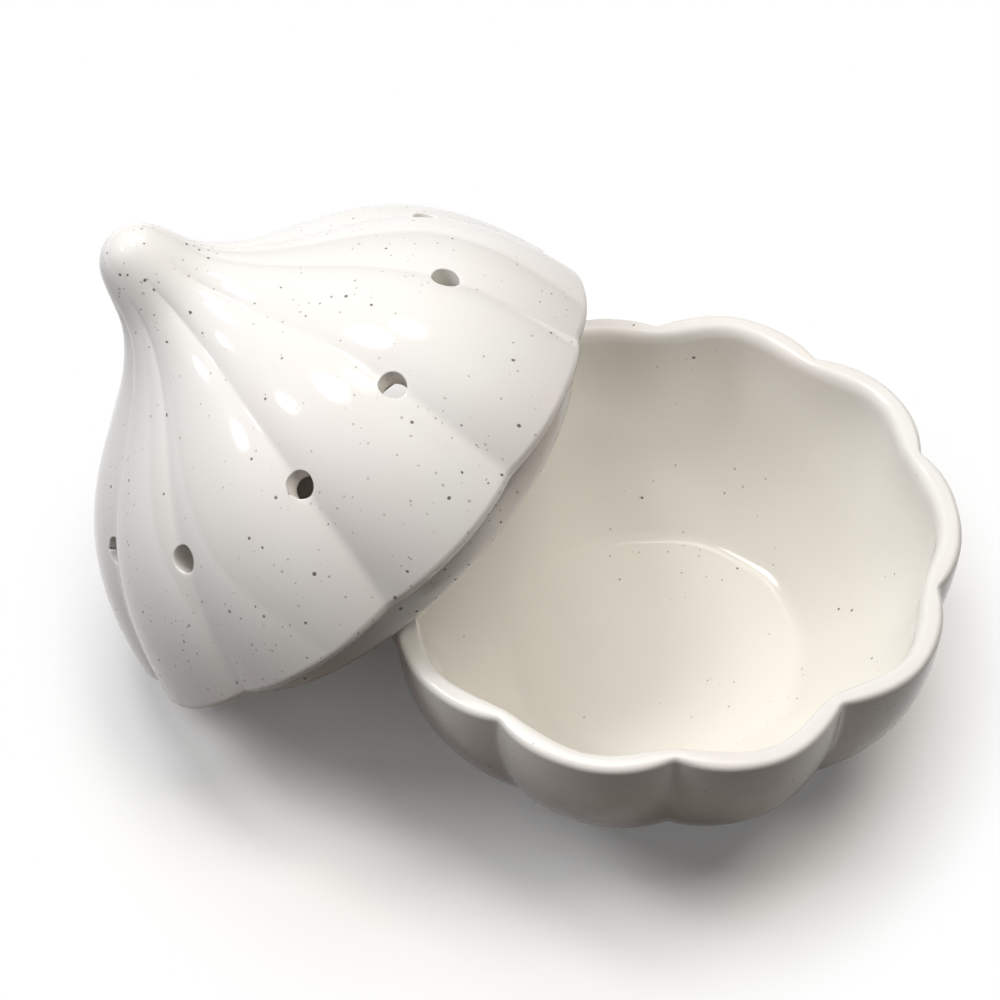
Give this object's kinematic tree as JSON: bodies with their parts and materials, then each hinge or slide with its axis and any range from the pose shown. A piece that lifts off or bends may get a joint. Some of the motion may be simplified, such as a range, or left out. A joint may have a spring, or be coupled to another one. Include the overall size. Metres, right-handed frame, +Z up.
{
  "type": "garlic keeper",
  "caption": "Glazed stoneware garlic keeper: a lobed bowl and a garlic-bulb lid with vent holes and a stem, shown open with the lid leaning on the bowl's rim.",
  "frame": {"origin": "centre of the bowl's foot ring, on the table", "axes": "+Z up along the bowl's axis; +X to the right and +Y away from someone who faces the pair with the lid leaning on the bowl's left"},
  "size_m": [0.1825, 0.1441, 0.0997],
  "materials": {
    "bowl_glaze": "glossy warm white glaze with fine dark specks",
    "lid_glaze": "glossy off-white glaze with fine dark specks"
  },
  "bodies": {
    "bowl": {"bowl": "bowl_glaze"},
    "lid": {"lid": "lid_glaze"}
  },
  "joints": [
    {"name": "lid_lift", "type": "slide", "parent": "bowl", "child": "lid", "axis": [0, 0, 1], "range_m": [0, 0.08]}
  ]
}
